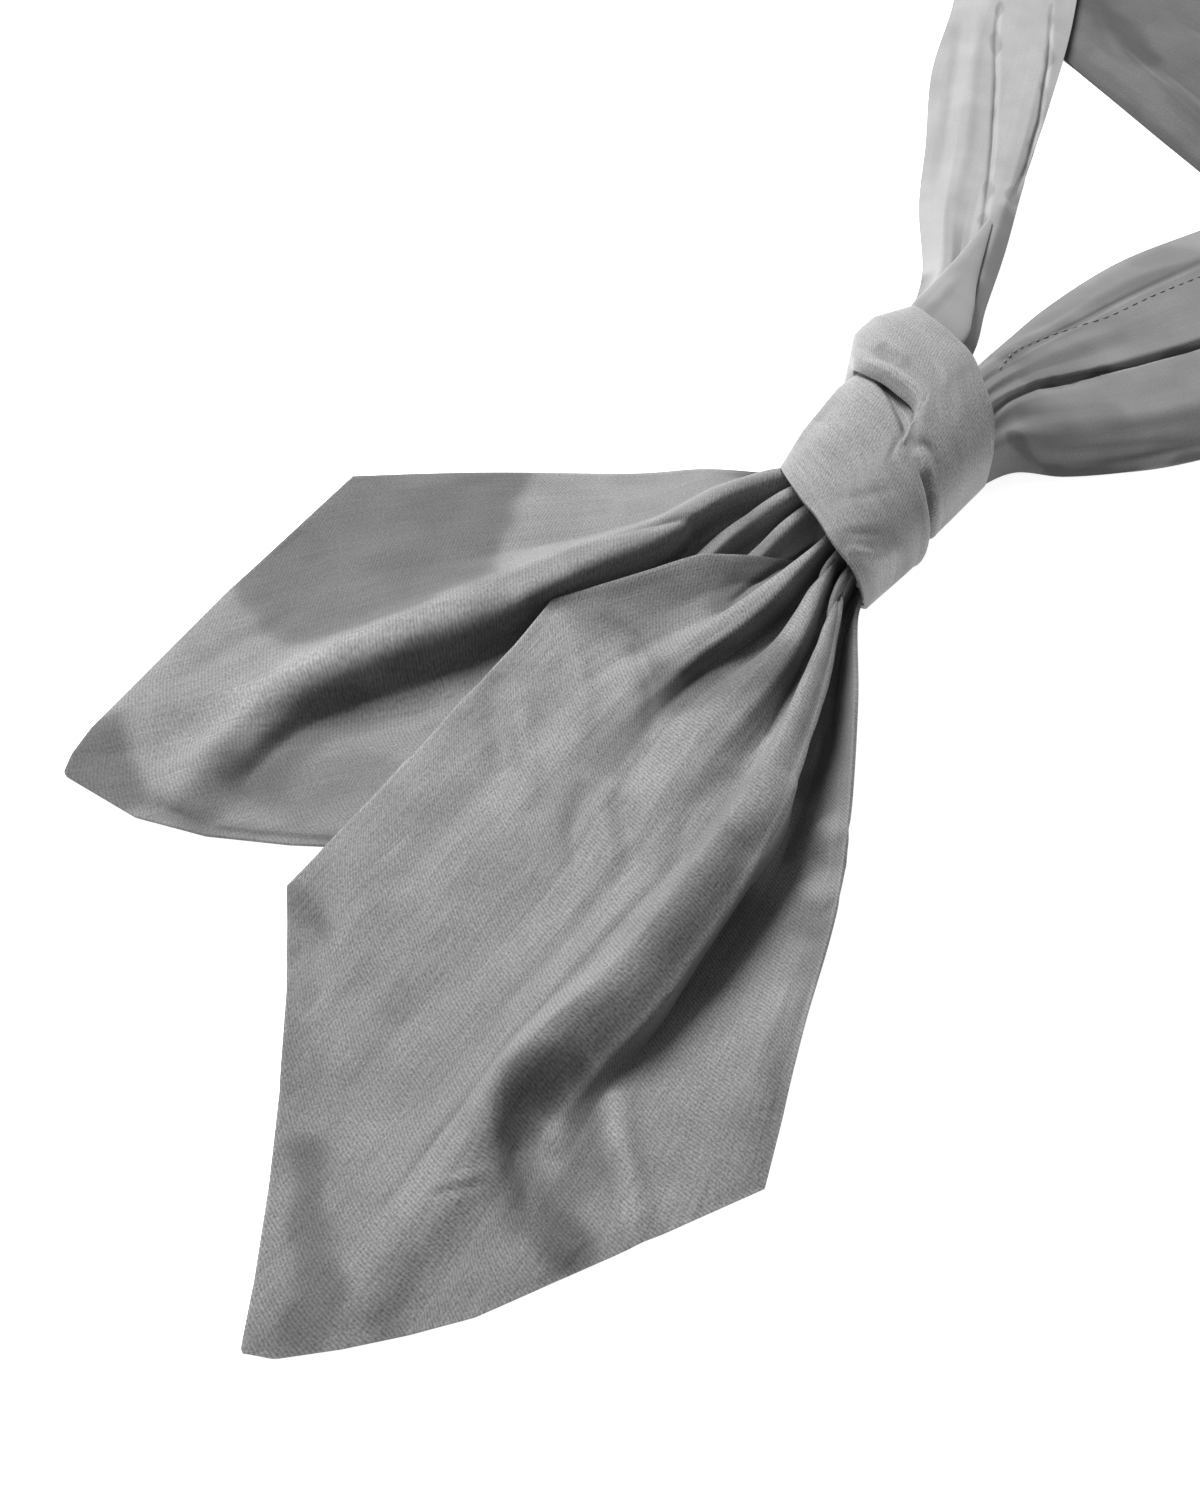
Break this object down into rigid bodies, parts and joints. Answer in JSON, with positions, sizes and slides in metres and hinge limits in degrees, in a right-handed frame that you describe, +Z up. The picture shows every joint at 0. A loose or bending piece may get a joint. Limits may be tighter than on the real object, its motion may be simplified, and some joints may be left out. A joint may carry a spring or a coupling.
{
  "type": "ascot tie",
  "caption": "Wide woven tie with two pointed pleated blades, tied in one knot and laid flat with its neck loop open.",
  "frame": {"origin": "centre of the bounding box at the bottom, on the surface that the tie lies on", "axes": "+Y along the knot from the blades to the neck loop, +Z up off the surface, +X to the front blade's side"},
  "size_m": [0.236, 0.5004, 0.0357],
  "materials": {
    "front_cloth": "matt grey fine twill with a slight sheen",
    "back_cloth": "matt grey fine twill with a slight sheen",
    "core_cloth": "matt grey cloth in shade",
    "wrap_cloth": "matt grey fine twill pulled smooth",
    "strand_cloth": "matt grey fine twill with a slight sheen",
    "neck_cloth": "matt grey fine twill"
  },
  "bodies": {
    "root": {"front_blade": "front_cloth", "back_blade": "back_cloth", "knot_core": "core_cloth", "knot_wrap_lower": "wrap_cloth", "knot_wrap_upper": "wrap_cloth", "strand_left": "strand_cloth", "strand_right": "strand_cloth", "neck_back": "neck_cloth"}
  },
  "joints": []
}
